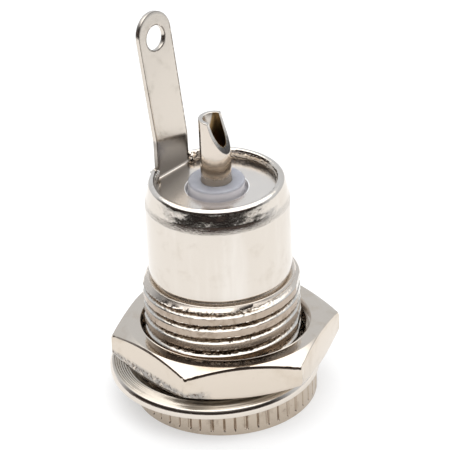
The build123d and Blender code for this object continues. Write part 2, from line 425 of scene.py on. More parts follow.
# Each row has a radius, a height and the share of the groove's depth that is cut there.
head_rows = [(mouth_radius + mouth_chamfer, 0.0, 0.0), (4.6, 0.0, 0.0)]
lower_round = arc(head_radius - head_round, head_round, head_round, -90, 0, 4)
head_rows += [(r, z, 0.0) for r, z in lower_round]
head_rows += [(head_radius, z, share) for z, share in ((0.2, 0), (0.3, 0), (0.35, 0.4), (0.42, 0.95))]
head_rows += [(head_radius, z, share) for z, share in ((0.6, 1), (0.9, 0.95), (1.1, 1), (1.3, 0.92))]
head_rows += [(head_radius, z, 1.0) for z in (1.5, 1.7, 1.86)]
for inset, drop, share in ((0.01, 0.06, 1.0), (0.04, 0.02, 0.9), (0.08, 0.0, 0.6), (0.35, 0.0, 0.0)):
    head_rows.append((head_radius - inset, head_top - drop, share))
head_rows += [(neck_radius, head_top, 0.0), (neck_radius, neck_top, 0.0)]
head_rows += [(mouth_radius, neck_top, 0.0), (mouth_radius, mouth_chamfer, 0.0)]
radius, height = spread_rows([row[:2] for row in head_rows], column_count)
for number, (row_radius, row_height, share) in enumerate(head_rows):
    uneven = smooth_noise(500 + number, column_count, 14) * uneven_size
    slide = int(round(draw.gauss(0, 0.3)))
    outside = row_radius > 6.3 and 0.1 < row_height < 1.99
    pressed = share * np.roll(cut, slide) * (1 + uneven * 20)
    radius[number] = row_radius - pressed - np.abs(uneven) * outside
head = grid_piece("shell_head", radius, height, column_angle, head_nickel)
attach(head, "root")
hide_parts("shell")


# Shell thread: M11 x 1, cut on the lathe, with two flats milled across it and
# a bevelled lead-in under the smooth barrel. The cutter tore the groove's root.
def overlap(tree, *masks):
    """The product of the masks, 1 only where all of them are 1."""
    shared = masks[0]
    for mask in masks[1:]:
        shared = math_node(tree, "MULTIPLY", shared, mask)
    return shared


# turning_marks: fine rings left by the lathe, round the piece's own Z axis, in micrometres.
turning_marks, given, made = start_group(
    "turning_marks",
    [("Rings Per Millimetre", FLOAT), ("Unevenness", FLOAT), ("Ring Height", FLOAT)],
    [("Height", FLOAT)],
)
tree = turning_marks
place = object_millimetres(tree)
split = split_point(tree, place)
wander = noise_node(tree, place, 0.8, 2.0)
radius = axis_distance(tree, split)
radius = math_node(tree, "MULTIPLY_ADD", wander, given["Unevenness"], radius)
ring_place = add_node(tree, "ShaderNodeCombineXYZ", {"X": radius, "Z": split["Z"]})
rings = noise_node(tree, ring_place.outputs[0], given["Rings Per Millimetre"], 4.0, 0.7)
ring_height = math_node(tree, "MULTIPLY", rings, given["Ring Height"])
tree.links.new(ring_height, made["Height"])


def turned_rings(tree, per_millimetre, unevenness, height):
    """Place turning_marks, with its height in micrometres."""
    inputs = {"Rings Per Millimetre": per_millimetre, "Unevenness": unevenness}
    inputs["Ring Height"] = height
    return add_node(tree, "ShaderNodeGroup", inputs, node_tree=turning_marks).outputs["Height"]


front_angle = -pi / 2
crest_radius = 5.5
thread_pitch = 1.0
thread_phase = 0.13
thread_flats = ((radians(-10), 5.4), (radians(170), 5.25))
thread_low = 2.9
thread_high = 9.3
body_levels = (thread_low, 3.3, 9.12, thread_high)
body_radii = (5.1, crest_radius, 5.48, 5.33)
tear_depth = 0.03
tear_spread = radians(65)
turn_columns = 480
first_turn = 1
last_turn = 11
# Each point has its place across the pitch, its radius and how much the cutter tore it.
thread_profile = [
    (-0.3, crest_radius, 0.0),
    (-0.285, 5.492, 0.0),
    (-0.24, 5.45, 0.08),
    (-0.195, 5.405, 0.2),
    (-0.155, 5.335, 0.9),
    (-0.12, 5.275, 1.0),
    (-0.08, 5.22, 1.0),
    (-0.04, 5.185, 1.0),
    (0.0, 5.17, 1.0),
    (0.05, 5.175, 1.0),
    (0.1, 5.215, 1.0),
    (0.15, 5.31, 0.9),
    (0.19, 5.41, 0.8),
    (0.22, 5.475, 0.8),
    (0.245, crest_radius, 0.5),
]
thread_profile += [(across, crest_radius, 0.0) for across in (0.31, 0.4, 0.5, 0.6, 0.68)]
profile_start = thread_profile[0][0]
profile_line = np.array(thread_profile + [(profile_start + thread_pitch, crest_radius, 0.0)])


def thread_surface(angle, z):
    """Radius of the thread at an angle and a height: groove, crest, end bevels and flats."""
    across = z - thread_phase - thread_pitch * (angle - front_angle) / (2 * pi)
    across = (across - profile_start) % thread_pitch + profile_start
    surface = np.interp(across, profile_line[:, 0], profile_line[:, 1])
    surface = np.minimum(surface, np.interp(z, body_levels, body_radii))
    for middle, flat_half in thread_flats:
        facing = np.cos(angle - middle)
        flat = np.minimum(surface, flat_half / np.maximum(facing, 0.5))
        surface = np.where(facing > 0.5, flat, surface)
    return surface


ribbon_columns = (last_turn - first_turn) * turn_columns
strip_rows = len(thread_profile)
wide = ribbon_columns + turn_columns + 1
full_angle = front_angle + np.arange(wide) * 2 * pi / turn_columns
from_front = (full_angle - front_angle + pi) % (2 * pi) - pi
tearing = 0.35 + 0.65 * np.exp(-((from_front / tear_spread) ** 2))
tearing = tearing * np.clip(1 + 0.4 * smooth_noise(31, wide, 60), 0.4, 1.6)
points = []
for row, (across, row_radius, torn) in enumerate(thread_profile):
    climb = thread_pitch * (full_angle - front_angle) / (2 * pi)
    z = np.clip(first_turn + thread_phase + across + climb, thread_low, thread_high)
    r = thread_surface(full_angle, z)
    chips = 0.8 * smooth_noise(60 + row, wide, 3) + 0.5 * smooth_noise(90 + row, wide, 8)
    inside = (z > thread_low) & (z < thread_high)
    r = np.minimum(r + inside * torn * tearing * chips * tear_depth, crest_radius)
    points.append(points_round(r, full_angle, z))
points = np.concatenate(points)
faces = []
for row in range(strip_rows):
    for column in range(ribbon_columns):
        below = row * wide + column
        above = below + wide if row < strip_rows - 1 else column + turn_columns
        corners = (below, below + 1, above + 1, above)
        levels = [points[corner, 2] for corner in corners]
        if min(levels) < thread_high and max(levels) > thread_low:
            faces.append(corners)

# The undercut below the barrel, the bore and the relief below the thread close the
# skin. Each row has a radius, a height and whether the thread and its flats cut it.
undercut_top = 9.84
bore_radius = 3.6
relief_radius = 5.1
relief_low = 1.9
closing_rows = [
    (crest_radius, thread_high, True),
    (5.2, 9.44, True),
    (5.12, 9.53, False),
    (5.11, 9.545, False),
    (5.11, 9.6, False),
    (5.09, 9.62, False),
    (4.76, 9.63, False),
    (4.74, 9.66, False),
    (4.74, undercut_top, False),
    (4.2, undercut_top, False),
    (bore_radius, undercut_top, False),
    (bore_radius, relief_low, False),
    (4.4, relief_low, False),
    (relief_radius, relief_low, False),
    (relief_radius, 2.5, False),
    (crest_radius, thread_low, True),
]
ring_angle = angles_round(turn_columns, front_angle)
start = len(points)
rings = []
for row_radius, row_height, threaded in closing_rows:
    level = np.full(turn_columns, row_height)
    r = np.full(turn_columns, row_radius)
    if threaded:
        r = np.minimum(r, thread_surface(ring_angle, level))
    rings.append(points_round(r, ring_angle, level))
for row in range(len(closing_rows) - 1):
    faces += band(start + row * turn_columns, start + (row + 1) * turn_columns, turn_columns)
points = np.concatenate([points] + rings) / per_metre

nickel_bright = (0.67, 0.6, 0.525, 1)
flank_highlight = (0.72, 0.68, 0.62, 1)
root_shade = (0.2, 0.145, 0.1, 1)
bevel_levels = (9.05, 9.15)
thread_nickel, tree = start_material("thread_nickel")
finish = plated(
    tree,
    metal=(0.45, 0.37, 0.3, 1),
    tarnish=(0.34, 0.27, 0.21, 1),
    clouds=(0.45, 1.6),
    pits=(0.7, 5.0),
    polish=(0.18, 0.3),
    grain=(10.0, 3.0),
)
marks = turned_rings(tree, 12.0, 0.02, 1.5)
# Painted shade: the thread's roots, below the bevel, get a dark brown colour.
recess_shade = mask_inside(tree, root=5.26, crest=5.43, raggedness=0.2)
# Painted highlight: a lighter colour on the groove flanks just inside the crest, for the white lines
# along the grooves.
flanks = mask_inside(tree, root=5.466, crest=5.478, raggedness=0.0)
level = split_point(tree, object_millimetres(tree))["Z"]
below_bevel = mask_below(tree, level, *bevel_levels)
colour = mix_colour(tree, flanks, finish["Color"], flank_highlight)
colour = mix_colour(tree, overlap(tree, recess_shade, below_bevel), colour, root_shade)
colour = mix_colour(tree, below_bevel, nickel_bright, colour)
relief = math_node(tree, "ADD", finish["Height"], marks)
finish_metal(tree, colour, finish["Roughness"], relief)
thread = skin("shell_thread", points.tolist(), faces, thread_nickel)
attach(thread, "root")
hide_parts("shell")


# Shell barrel and rim: the smooth rear of the shell. Its thin rim is rolled in
# over the solder tag, with a notch where the tag's tail stands up. The rolling
# wheel wrinkled the shoulder and left burrs beside the notch.
tail_angle = radians(137)
notch_half = 1.65
notch_reach = 4.6
barrel_radius = 5.0
seat_radius = 4.5
seat_low = 11.0
rim_lip = 4.2
rim_top = 16.85
burr_height = 0.05
burr_columns = 9
wrinkle_out = 0.0008
dent_out = 0.011
lip_out = 0.01
burr_out = 0.04
burr_jag = 0.07
wrinkle_up = 0.002
dent_up = 0.005
burr_up = 0.04
barrel_columns = 720
barrel_rows = [(bore_radius, 9.86), (4.86, 9.86), (4.9, 9.88), (4.93, 9.92), (4.97, 9.95)]
barrel_rows += [(barrel_radius, z) for z in (10.02, 10.6, 12.0, 13.5, 14.8, 15.16)]
first_notched = len(barrel_rows) + 5
for share in np.linspace(0, 1, 16):
    barrel_rows.append((4.992 - 0.31 * share - 0.015 * share**2, 15.22 + 1.41 * share))
barrel_rows += [(4.65, 16.68), (4.615, 16.725), (4.56, 16.77), (4.49, 16.81), (4.4, 16.835)]
barrel_rows += [(4.3, 16.835), (rim_lip, 16.8), (4.15, 16.73), (4.12, 16.64), (4.125, 16.5)]
barrel_rows += [(4.14, 16.42), (4.16, 16.34), (4.19, 16.26), (4.22, 16.19), (4.25, 16.13)]
barrel_rows += [(seat_radius, 16.13), (seat_radius, 15.73), (seat_radius, seat_low)]
barrel_rows += [(bore_radius, seat_low)]
row_total = len(barrel_rows)
last_notched = row_total - 4
edge_columns = []
for side in (-1, 1):
    edge = tail_angle + side * asin(notch_half / notch_reach)
    edge_share = (edge - front_angle) / (2 * pi)
    edge_columns.append(int(round(edge_share * barrel_columns)) % barrel_columns)
angle = np.tile(angles_round(barrel_columns, front_angle), (row_total, 1))
radius, height = spread_rows(barrel_rows, barrel_columns)
for side, col in zip((-1, 1), edge_columns):
    for row in range(first_notched, last_notched + 2):
        angle[row, col] = tail_angle + side * asin(notch_half / barrel_rows[row][0])
burr = np.zeros(barrel_columns)
for col in edge_columns:
    away = np.arange(barrel_columns) - col + barrel_columns / 2
    away = away % barrel_columns - barrel_columns / 2
    burr += np.exp(-((away / burr_columns) ** 2))
dent_levels = (15.3, 15.7, 16.1, 16.5, 16.9)
dents = []
for step in range(len(dent_levels)):
    wide_dent = smooth_noise(70 + step, barrel_columns, 70)
    dents.append(0.8 * wide_dent + 0.2 * smooth_noise(80 + step, barrel_columns, 20))
for row, (r, z) in enumerate(barrel_rows):
    worked = np.interp(z, [15.25, 15.45, 16.9], [0, 1, 1]) * (row < row_total - 4)
    small = smooth_noise(100 + row, barrel_columns, 7)
    near = np.interp(z, dent_levels, range(len(dent_levels)))
    low_dent = int(min(near, len(dent_levels) - 2))
    middle = dents[low_dent] * (low_dent + 1 - near) + dents[low_dent + 1] * (near - low_dent)
    inner = r < rim_lip
    radius[row] += worked * (wrinkle_out * small + dent_out * middle + lip_out * inner * small)
    radius[row] += worked * burr * (burr_jag * small + burr_out)
    height[row] += worked * (wrinkle_up * small + dent_up * middle + burr_up * burr * small)
height = np.minimum(height, rim_top + burr_height * burr)
points = points_round(radius, angle, height).reshape(-1, 3) / per_metre
notched = []
col = edge_columns[0]
while col != edge_columns[1]:
    notched.append(col)
    col = (col + 1) % barrel_columns
faces = []
for row in range(row_total):
    loop = band(row * barrel_columns, ((row + 1) % row_total) * barrel_columns, barrel_columns)
    notched_row = first_notched <= row <= last_notched
    faces += [face for col, face in enumerate(loop) if not (notched_row and col in notched)]
notch_floor = band(first_notched * barrel_columns, (last_notched + 1) * barrel_columns, barrel_columns)
faces += [notch_floor[col] for col in notched]
for col in edge_columns:
    faces.append([row * barrel_columns + col for row in range(first_notched, last_notched + 2)])

streak_reflection = (0.78, 0.74, 0.69, 1)
lip_shade = (0.29, 0.265, 0.24, 1)
rim_levels = (15.0, 15.2)
shoulder_levels = (15.25, 15.75)
lip_levels = (16.35, 16.6)
streak_stretch = (0.6, 0.6, 0.07)
streak_limits = (0.45, 0.85)
wrinkle_size = 60.0
shoulder_wrinkle_share = 0.93
rim_wrinkle_share = 0.07
barrel_nickel, tree = start_material("barrel_nickel")
finish = plated(
    tree,
    metal=(0.69, 0.635, 0.57, 1),
    tarnish=(0.64, 0.58, 0.51, 1),
    clouds=(0.5, 0.7),
    pits=(0.74, 5.0),
    polish=(0.1, 0.16),
    grain=(9.0, 1.6),
)
marks = turned_rings(tree, 9.0, 0.02, 0.4)
place = object_millimetres(tree)
level = split_point(tree, place)["Z"]
on_rim = mask_above(tree, level, *rim_levels)
on_shoulder = overlap(tree, on_rim, mask_below(tree, level, *shoulder_levels))
rolled = math_node(tree, "MULTIPLY", on_rim, rim_wrinkle_share)
rolled = math_node(tree, "MULTIPLY_ADD", on_shoulder, shoulder_wrinkle_share, rolled)
wrinkles = overlap(tree, noise_node(tree, place, 6.0, 5.0, 0.7, 0.2), rolled)
wrinkle_height = math_node(tree, "MULTIPLY", wrinkles, wrinkle_size)
relief = math_node(tree, "ADD", finish["Height"], marks)
relief = math_node(tree, "ADD", relief, wrinkle_height)
# Painted shade: the inner wall under the rolled lip gets a dark colour.
recess_shade = mask_inside(tree, root=4.18, crest=4.28, raggedness=0.12)
recess_shade = overlap(tree, recess_shade, mask_below(tree, level, *lip_levels))
# Painted reflection: long vertical streaks of lighter colour on the barrel.
stretch = {0: place, 1: streak_stretch}
streak_place = add_node(tree, "ShaderNodeVectorMath", stretch, operation="MULTIPLY").outputs[0]
streaks = mask_above(tree, noise_node(tree, streak_place, 1.0, 3.0, 0.6), *streak_limits)
colour = mix_colour(tree, streaks, finish["Color"], streak_reflection)
colour = mix_colour(tree, recess_shade, colour, lip_shade)
finish_metal(tree, colour, finish["Roughness"], relief)
barrel = skin("shell_barrel", points.tolist(), faces, barrel_nickel)
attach(barrel, "root")
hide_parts("shell")


# Washer: a flat ring, turned and plated, loose on the thread and pushed to one
# side on the head. Its upper edge is rounded over and shiny.
washer_shift = -0.7
washer_outer = 7.4
washer_inner = 5.9
washer_low = 2.0
washer_high = 2.75
washer_round = 0.08
washer_columns = 360
turned_rows = 6
turned_step = 0.15
turned_depth = 0.065
washer_rows = [(washer_inner, washer_low), (6.5, washer_low)]
washer_rows += arc(washer_outer - washer_round, washer_low + washer_round, washer_round, -90, 0, 4)
washer_rows += [(washer_outer, 2.34), (7.388, 2.39), (7.366, 2.45), (7.335, 2.51), (7.3, 2.57)]
washer_rows += [(7.262, 2.625), (7.222, 2.665), (7.17, 2.69)]
top_start = len(washer_rows)
for turning in range(turned_rows):
    washer_rows.append((7.1 - turned_step * turning, washer_high - 0.012))
    washer_rows.append((7.03 - turned_step * turning, washer_high - turned_depth))
for share in np.linspace(0.2, 0.03, 8):
    washer_rows.append((washer_inner + (washer_outer - washer_inner) * share, washer_high))
top_end = len(washer_rows)
washer_rows.append((washer_inner, washer_high - 0.02))
radius, height = spread_rows(washer_rows, washer_columns)
ripple = np.random.default_rng(3)
for row in range(top_start, top_end):
    wave = np.abs(smooth_noise(300 + row, washer_columns, 40))
    height[row] -= ripple.uniform(0.0, 0.014) + 0.0015 * wave

rounded_nickel = (0.72, 0.66, 0.59, 1)
rounded_roughness = 0.11
washer_nickel, tree = start_material("washer_nickel")
finish = plated(
    tree,
    metal=(0.56, 0.505, 0.435, 1),
    tarnish=(0.46, 0.405, 0.34, 1),
    clouds=(0.5, 1.2),
    pits=(0.72, 6.0),
    polish=(0.3, 0.4),
    grain=(9.0, 1.5),
)
marks = turned_rings(tree, 7.0, 0.06, 11.0)
turned_face = mask_inside(tree, root=7.15, crest=7.3, raggedness=0.05)
colour = mix_colour(tree, turned_face, rounded_nickel, finish["Color"])
blunt = math_node(tree, "SUBTRACT", finish["Roughness"], rounded_roughness)
roughness = math_node(tree, "MULTIPLY_ADD", turned_face, blunt, rounded_roughness)
finish_metal(tree, colour, roughness, math_node(tree, "ADD", finish["Height"], marks))
washer_angle = angles_round(washer_columns)
washer = grid_piece("washer_ring", radius, height, washer_angle, washer_nickel)
washer.location.x = washer_shift / per_metre
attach(washer, "root")
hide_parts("washer")


# Hex nut: cut from hexagon bar, both faces chamfered to a circle, the thread
# countersunk. It sits loose and a little askew on the thread. Its lower left
# edge is scuffed, and a dark reflection of the thread is painted on its top in front.
nut_flat = 7.05
nut_half = 1.25
nut_corner_radius = 0.25
nut_circle = 6.93
nut_bore = 5.66
nut_countersink = 0.3
nut_chamfer = radians(25)
nut_groove_depth = 0.2
nut_burr = 0.025
nut_mouth = nut_bore + nut_countersink
nut_centre = Vector((0.15, 0, 4.36))
nut_turn = Matrix.Rotation(radians(-2.2), 4, "X") @ Matrix.Rotation(radians(1.3), 4, "Y")
nut_turn = nut_turn @ Matrix.Rotation(radians(8.3), 4, "Z")
nut_edge_steps = [(0.12, 0.056), (0.095, 0.044), (0.068, 0.005), (0.012, -0.15), (0.0, -0.21)]
corner_reach = (nut_flat - nut_corner_radius) / cos(radians(30))
nut_angles = []
for corner in range(6):
    middle = corner * 60
    nut_angles += list(middle + np.linspace(-1.5, 1.5, 13))
    nut_angles += list(middle + np.linspace(1.5, 58.5, 40)[1:-1])
nut_angle = np.radians(np.array(nut_angles))
off_corner = (nut_angle + pi / 6) % (pi / 3) - pi / 6
off_flat = nut_angle % (pi / 3) - pi / 6
reach = nut_flat / np.cos(off_flat)
aside = corner_reach * np.sin(off_corner)
rounding = np.sqrt(np.maximum(nut_corner_radius**2 - aside**2, 0))
rounded = np.minimum(reach, corner_reach * np.cos(off_corner) + rounding)
reach = np.where(np.abs(aside) < nut_corner_radius, rounded, reach)
drop = np.maximum(reach - nut_circle, 0) * tan(nut_chamfer)


def nut_edge(side):
    """Rows (radius, height) from the face circle over the chamfer to the side; side is 1 or -1."""
    rows = [
        (nut_circle - 0.06, side * nut_half),
        (nut_circle - 0.02, side * (nut_half - 0.002)),
        (nut_circle + 0.01, side * (nut_half - 0.012)),
    ]
    for inset, rise in nut_edge_steps:
        rows.append((reach - inset, side * np.minimum(nut_half - drop + rise, nut_half - 0.013)))
    return rows


nut_rows = [(nut_mouth, -nut_half)]
nut_rows += nut_edge(-1)
nut_rows += nut_edge(1)[::-1]
nut_rows += [(6.4, nut_half), (nut_mouth + 0.12, nut_half), (nut_mouth + 0.09, nut_half)]
nut_rows += [(nut_mouth + 0.04, nut_half + nut_burr), (nut_mouth, nut_half)]
for level in np.linspace(nut_half - nut_countersink, -nut_half + nut_countersink, 40):
    phase = (level - thread_pitch * nut_angle / (2 * pi)) % thread_pitch
    depth = nut_groove_depth * np.clip(1.2 - np.abs(phase - 0.5) * 3.2, 0, 1)
    nut_rows.append((nut_bore + depth, level))
radius, height = spread_rows(nut_rows, len(nut_angle))

scuff_colour = (0.36, 0.335, 0.31, 1)
top_reflection_dark = (0.38, 0.355, 0.335, 1)
low_edge_levels = (-0.6, -0.25)
left_side = (2.0, 3.2)
front_side = (4.4, 5.9)
top_levels = (1.2, 1.24)
scuff_limits = (0.36, 0.5)
nick_limits = (0.55, 0.62)
nick_depth = -22.0
nut_nickel, tree = start_material("nut_nickel")
finish = plated(
    tree,
    metal=(0.665, 0.59, 0.505, 1),
    tarnish=(0.615, 0.535, 0.445, 1),
    clouds=(0.5, 0.6),
    pits=(0.73, 5.0),
    polish=(0.11, 0.18),
    grain=(8.0, 1.4),
)
marks = turned_rings(tree, 6.0, 0.03, 0.5)
nut_place = {"Vector": object_millimetres(tree), "Location": nut_centre}
nut_place["Rotation"] = nut_turn.to_euler()
place = add_node(tree, "ShaderNodeMapping", nut_place, vector_type="TEXTURE").outputs[0]
split = split_point(tree, place)
to_left = math_node(tree, "MULTIPLY", split["X"], -1.0)
to_front = math_node(tree, "MULTIPLY", split["Y"], -1.0)
low_edge = mask_below(tree, split["Z"], *low_edge_levels)
struck = overlap(tree, low_edge, mask_above(tree, to_left, *left_side))
scuff_noise = noise_node(tree, place, 2.2, 5.0, 0.7)
scuffs = overlap(tree, struck, mask_above(tree, scuff_noise, *scuff_limits))
nick_noise = noise_node(tree, place, 5.0, 4.0, 0.7)
nicks = overlap(tree, struck, mask_above(tree, nick_noise, *nick_limits))
# Painted reflection: a dark reflection of the thread on the nut's top, in front, near the thread.
near_thread = mask_inside(tree, root=6.5, crest=7.0, raggedness=0.5)
in_front = mask_above(tree, to_front, *front_side)
on_top = mask_above(tree, split["Z"], *top_levels)
colour = mix_colour(tree, scuffs, finish["Color"], scuff_colour)
colour = mix_colour(tree, nicks, colour, nickel_pit)
colour = mix_colour(tree, overlap(tree, near_thread, in_front, on_top), colour, top_reflection_dark)
relief = math_node(tree, "ADD", finish["Height"], marks)
relief = math_node(tree, "MULTIPLY_ADD", nicks, nick_depth, relief)
finish_metal(tree, colour, finish["Roughness"], relief)
nut = grid_piece("nut_body", radius, height, nut_angle, nut_nickel)
nut.data.transform(Matrix.Translation(nut_centre / per_metre) @ nut_turn)
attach(nut, "root")
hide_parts("hex_nut")


# Solder tag: one stamping of plated sheet. Its ring lies under the rolled rim,
# and its tail is folded up, creased outwards and punched with an eye. Its cut
# edges have a material of their own: painted shade broken by lighter patches, and a painted highlight
# on the plate.
def vector_value(tree, operation, first, second):
    """A number worked out from two vectors."""
    inputs = {0: first, 1: second}
    return add_node(tree, "ShaderNodeVectorMath", inputs, operation=operation).outputs["Value"]


tag_thickness = 0.34
tag_edge_round = 0.08
tag_middle = 15.96
tag_hole = 2.15
tag_outer = 4.4
tag_fold = 3.88
tail_half = 1.55
tail_upright = 4.13
tail_lean = radians(8.0)
crease_level = 18.63
crease_tilt = 0.19
crease_radius = 2.5
bend_mid = 0.25
eye_radius = 0.87
eye_reach = 7.4
eye_margin = 0.3
eye_rings = 5
shared_steps = 12
root_half_angle = atan2(tail_half, tag_fold)
near_turns = np.linspace(-root_half_angle, root_half_angle, shared_steps + 1)
far_turns = np.linspace(root_half_angle, 2 * pi - root_half_angle, 120)[1:-1]
ring_turns = np.concatenate([near_turns, far_turns])
ring_total = len(ring_turns)
ring_shares = (0.0, 0.04, 0.2, 0.4, 0.6, 0.8, 1.0)
ring_levels = len(ring_shares) - 1
points = []
faces = []
for share in ring_shares:
    for turn in ring_turns:
        facing = cos(turn)
        outer = min(tag_outer, tag_fold / facing) if facing > 0 else tag_outer
        r = tag_hole + (outer - tag_hole) * share
        points.append((r * facing, r * sin(turn), tag_middle))
for level in range(ring_levels):
    faces += band(level * ring_total, (level + 1) * ring_total, ring_total)
root_row = [ring_levels * ring_total + step for step in range(shared_steps + 1)]
across = [points[index][1] for index in root_row]

# The tail's path, as (distance from the axis, height), starts with the fold.
path = []
for turn in np.linspace(0, pi / 2, 9)[1:]:
    path.append((tag_fold + bend_mid * sin(turn), tag_middle + bend_mid * (1 - cos(turn))))
crease_run = crease_radius * tan(tail_lean / 2)
crease_start = crease_level - crease_run
for level in np.linspace(tag_middle + bend_mid, crease_start, 7)[1:]:
    path.append((tail_upright, level))
for turn in np.linspace(0, tail_lean, 7)[1:]:
    out = tail_upright + crease_radius * (1 - cos(turn))
    path.append((out, crease_start + crease_radius * sin(turn)))
lean_out, lean_level = path[-1]
base_drop = tail_half * 1.06
tip_reach = eye_reach + eye_margin - crease_run
for share in np.linspace(0, 1, 16)[1:]:
    run = (tip_reach - base_drop) * share
    path.append((lean_out + run * sin(tail_lean), lean_level + run * cos(tail_lean)))
slant_levels = [16.5, 18.2, 19.0, path[-1][1]]
previous = root_row
for out, level in path:
    row = []
    slant = crease_tilt * np.interp(level, slant_levels, [0, 1, 1, 0])
    for side in across:
        row.append(len(points))
        points.append((out, side, level + slant * side))
    for step in range(shared_steps):
        faces.append((previous[step], previous[step + 1], row[step + 1], row[step]))
    previous = row

# Rings of points lead from the tail's round end to the eye.
tip_out = lean_out + tip_reach * sin(tail_lean)
tip_level = lean_level + tip_reach * cos(tail_lean)
eye_border = [(side, -base_drop) for side in across]
for level in np.linspace(-base_drop, 0, 8)[1:]:
    eye_border.append((across[-1], level))
for turn in np.linspace(0, pi, 25)[1:]:
    eye_border.append((tail_half * cos(turn), tail_half * sin(turn)))
for level in np.linspace(0, -base_drop, 8)[1:-1]:
    eye_border.append((-tail_half, level))
border_total = len(eye_border)
ring_index = []
for ring_step in range(eye_rings + 1):
    row = []
    for number, (side, up) in enumerate(eye_border):
        if ring_step == 0 and number <= shared_steps:
            row.append(previous[number])
            continue
        turn = atan2(up + eye_margin, side)
        share = ring_step / eye_rings
        aside = side * (1 - share) + eye_radius * cos(turn) * share
        rise = up * (1 - share) + (eye_radius * sin(turn) - eye_margin) * share
        row.append(len(points))
        points.append((tip_out + rise * sin(tail_lean), aside, tip_level + rise * cos(tail_lean)))
    ring_index.append(row)
for inner_row, outer_row in zip(ring_index[1:], ring_index):
    for number in range(border_total):
        beside = (number + 1) % border_total
        faces.append((outer_row[number], outer_row[beside], inner_row[beside], inner_row[number]))
turned = Matrix.Rotation(tail_angle, 3, "Z")
points = [tuple(turned @ Vector(point) / per_metre) for point in points]
eye_out = tip_out - eye_margin * sin(tail_lean)
eye_centre = turned @ Vector((eye_out, 0, tip_level - eye_margin * cos(tail_lean)))

plate_nickel = (0.79, 0.735, 0.675, 1)
near_fold_dark = (0.25, 0.225, 0.2, 1)
below_crease_tone = (0.42, 0.385, 0.345, 1)
crease_dark = (0.35, 0.32, 0.29, 1)
outline_shade = (0.27, 0.235, 0.2, 1)
hole_highlight = (1.0, 0.97, 0.93, 1)
slanted_level = (0.13, 0.139, 1.0)
tail_sideways = (-0.682, -0.731, 0)
fold_levels = (16.2, 16.35)
root_darkening_levels = (17.0, 18.3)
crease_low = (18.3, 18.8)
crease_high = (18.92, 19.2)
far_side = (-1.46, -1.4)
eye_rise = (0.9, 0.93)
eye_fall = (0.96, 1.01)
patch_limits = (0.36, 0.5)
plate_share = 0.8
mottle_reach = 0.9
tag_nickel, tree = start_material("tag_nickel")
finish = plated(
    tree,
    metal=(0.665, 0.605, 0.535, 1),
    tarnish=(0.62, 0.56, 0.485, 1),
    clouds=(0.5, 0.8),
    pits=(0.74, 4.5),
    polish=(0.2, 0.27),
    grain=(8.0, 2.0),
)
place = object_millimetres(tree)
level = vector_value(tree, "DOT_PRODUCT", place, slanted_level)
mottle_noise = noise_node(tree, place, 10.0, 4.0, 0.75)
mottle = math_node(tree, "MULTIPLY_ADD", mottle_noise, mottle_reach, level)
above_fold = mask_above(tree, split_point(tree, place)["Z"], *fold_levels)
below_fold = math_node(tree, "SUBTRACT", 1.0, above_fold)
below_crease = mask_below(tree, mottle, *crease_high)
at_crease = overlap(tree, below_crease, mask_above(tree, mottle, *crease_low))
plate = math_node(tree, "MULTIPLY_ADD", above_fold, -plate_share, plate_share)
# The tail is darker below the crease, darkest towards the fold, with a darker band along the crease.
root_darkening = mix_colour(tree, mask_above(tree, mottle, *root_darkening_levels), near_fold_dark, below_crease_tone)
# Painted shade: a broken dark line along the tail's far edge and round the eye.
sideways = vector_value(tree, "DOT_PRODUCT", place, tail_sideways)
far_edge = mask_below(tree, sideways, *far_side)
from_eye = vector_value(tree, "DISTANCE", place, eye_centre)
past_eye = mask_above(tree, from_eye, *eye_fall)
eye_edge = math_node(tree, "SUBTRACT", mask_above(tree, from_eye, *eye_rise), past_eye)
patchy = mask_above(tree, noise_node(tree, place, 4.0, 3.0, 0.7), *patch_limits)
outline = overlap(tree, math_node(tree, "MAXIMUM", far_edge, eye_edge), above_fold, patchy)
# Painted highlight: a bright ring on the plate round the hole's edge.
hole_edge = mask_inside(tree, root=2.23, crest=2.26, raggedness=0.02)
colour = mix_colour(tree, plate, finish["Color"], plate_nickel)
colour = mix_colour(tree, overlap(tree, below_crease, above_fold), colour, root_darkening)
colour = mix_colour(tree, at_crease, colour, crease_dark)
colour = mix_colour(tree, outline, colour, outline_shade)
colour = mix_colour(tree, overlap(tree, hole_edge, below_fold), colour, hole_highlight)
finish_metal(tree, colour, finish["Roughness"], finish["Height"])

edge_dark = (0.1, 0.085, 0.07, 1)
edge_worn = (0.5, 0.45, 0.39, 1)
edge_highlight = (0.8, 0.77, 0.72, 1)
edge_levels = (16.2, 16.5)
edge_limits = (0.56, 0.68)
edge_roughness = 0.3
edge_relief = 6.0
tag_edge, tree = start_material("tag_edge")
place = object_millimetres(tree)
level = split_point(tree, place)["Z"]
# Painted shade: the cut edges are dark, broken by lighter patches; the plate's edges below get a
# painted highlight.
broken = mask_above(tree, noise_node(tree, place, 3.5, 4.0, 0.7), *edge_limits)
colour = mix_colour(tree, broken, edge_dark, edge_worn)
colour = mix_colour(tree, mask_above(tree, level, *edge_levels), edge_highlight, colour)
relief = math_node(tree, "MULTIPLY", noise_node(tree, place, 9.0), edge_relief)
finish_metal(tree, colour, edge_roughness, relief)
tag = skin("tag_stamping", points, faces, tag_nickel, 40.0)
tag.data.materials.append(tag_edge)
thicken = tag.modifiers.new("sheet", "SOLIDIFY")
thicken.thickness = tag_thickness / per_metre
thicken.offset = 0
thicken.use_even_offset = True
soften = tag.modifiers.new("stamped_edge", "BEVEL")
soften.width = tag_edge_round / per_metre
soften.segments = 3
soften.limit_method = "ANGLE"
soften.angle_limit = radians(50)
soften.material = 1
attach(tag, "root")
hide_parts("solder_tag")


